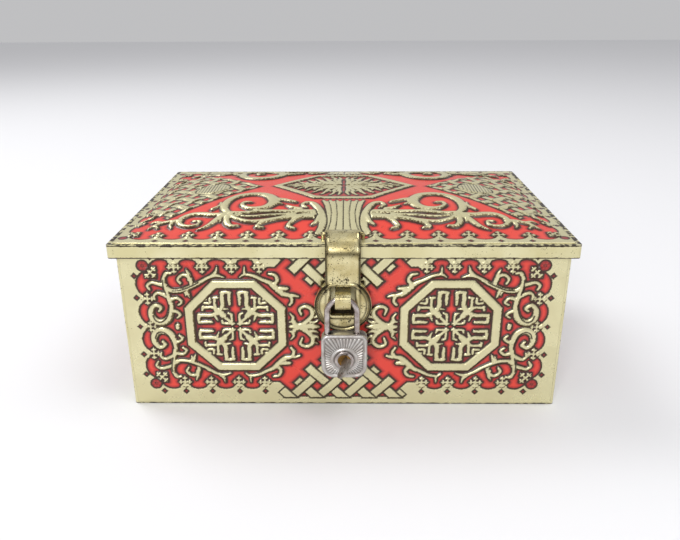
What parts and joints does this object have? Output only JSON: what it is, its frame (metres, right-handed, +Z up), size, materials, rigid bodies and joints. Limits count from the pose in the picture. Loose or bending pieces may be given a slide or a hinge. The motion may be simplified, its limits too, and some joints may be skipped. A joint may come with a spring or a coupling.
{
  "type": "lock box",
  "caption": "Rectangular embossed tinplate box with a domed hinged lid, closed by a hinged hasp over a staple and a small padlock with its key.",
  "frame": {"origin": "centre of the box's underside", "axes": "+X to the right seen from the front, +Y to the back, +Z up; the hasp and padlock are on the -Y face"},
  "size_m": [0.2006, 0.1533, 0.0876],
  "materials": {
    "litho_tinplate": "gold lacquer and coral red printed on embossed tinplate, satin",
    "plain_tinplate": "gold-lacquered tinplate, satin",
    "pressed_brass": "worn brass plate, bright",
    "turned_brass": "turned brass, dulled",
    "nickelled_steel": "fluted nickel-plated steel, worn",
    "bright_steel": "bright plated steel",
    "steel": "plain steel"
  },
  "bodies": {
    "box": {"body_wall": "litho_tinplate", "bottom_plate": "plain_tinplate", "staple": "pressed_brass", "staple_plate": "plain_tinplate", "hinge_body_leaf_left": "pressed_brass", "hinge_body_leaf_right": "pressed_brass", "hinge_pin_left": "steel", "hinge_pin_right": "steel", "hinge_body_rivets": "pressed_brass"},
    "lid": {"lid_shell": "litho_tinplate", "hinge_lid_leaf_left": "pressed_brass", "hinge_lid_leaf_right": "pressed_brass", "hinge_lid_rivets": "pressed_brass", "hasp_wire": "pressed_brass"},
    "hasp": {"hasp": "pressed_brass"},
    "shackle": {"shackle": "bright_steel"},
    "padlock": {"padlock_front": "nickelled_steel", "padlock_back": "nickelled_steel", "padlock_bezel": "bright_steel", "heel_rivet": "steel", "latch_spring": "steel"},
    "plug": {"plug": "turned_brass"},
    "latch": {"latch": "steel"},
    "key": {"key": "steel"}
  },
  "joints": [
    {"name": "lid_hinge", "type": "hinge", "parent": "box", "child": "lid", "pos_m": [0, 0.0648, 0.0712], "axis": [-1, 0, 0], "range_deg": [0, 110]},
    {"name": "hasp_hinge", "type": "hinge", "parent": "lid", "child": "hasp", "pos_m": [0, -0.05813, 0.08203], "axis": [-1, 0, 0], "range_deg": [0, 174]},
    {"name": "padlock_swing", "type": "hinge", "parent": "hasp", "child": "shackle", "pos_m": [-0.0004, -0.0715, 0.0573], "axis": [-1, 0, 0], "range_deg": [0, 60]},
    {"name": "shackle_open", "type": "hinge", "parent": "shackle", "child": "padlock", "pos_m": [0.006, -0.0715, 0.036], "axis": [0, -1, 0], "range_deg": [0, 90]},
    {"name": "key_turn", "type": "hinge", "parent": "padlock", "child": "plug", "pos_m": [0.00055, -0.072, 0.0292], "axis": [0, 1, 0], "range_deg": [0, 90]},
    {"name": "latch_draw", "type": "slide", "parent": "padlock", "child": "latch", "axis": [1, 0, 0], "range_m": [0, 0.0015], "deforming": ["latch_spring"]},
    {"name": "key_withdraw", "type": "slide", "parent": "plug", "child": "key", "axis": [0, -1, 0], "range_m": [0, 0.012]}
  ],
  "couplings": [
    {"joint": "key_turn", "follows": "latch_draw", "rad_per_m": 1047.1}
  ]
}
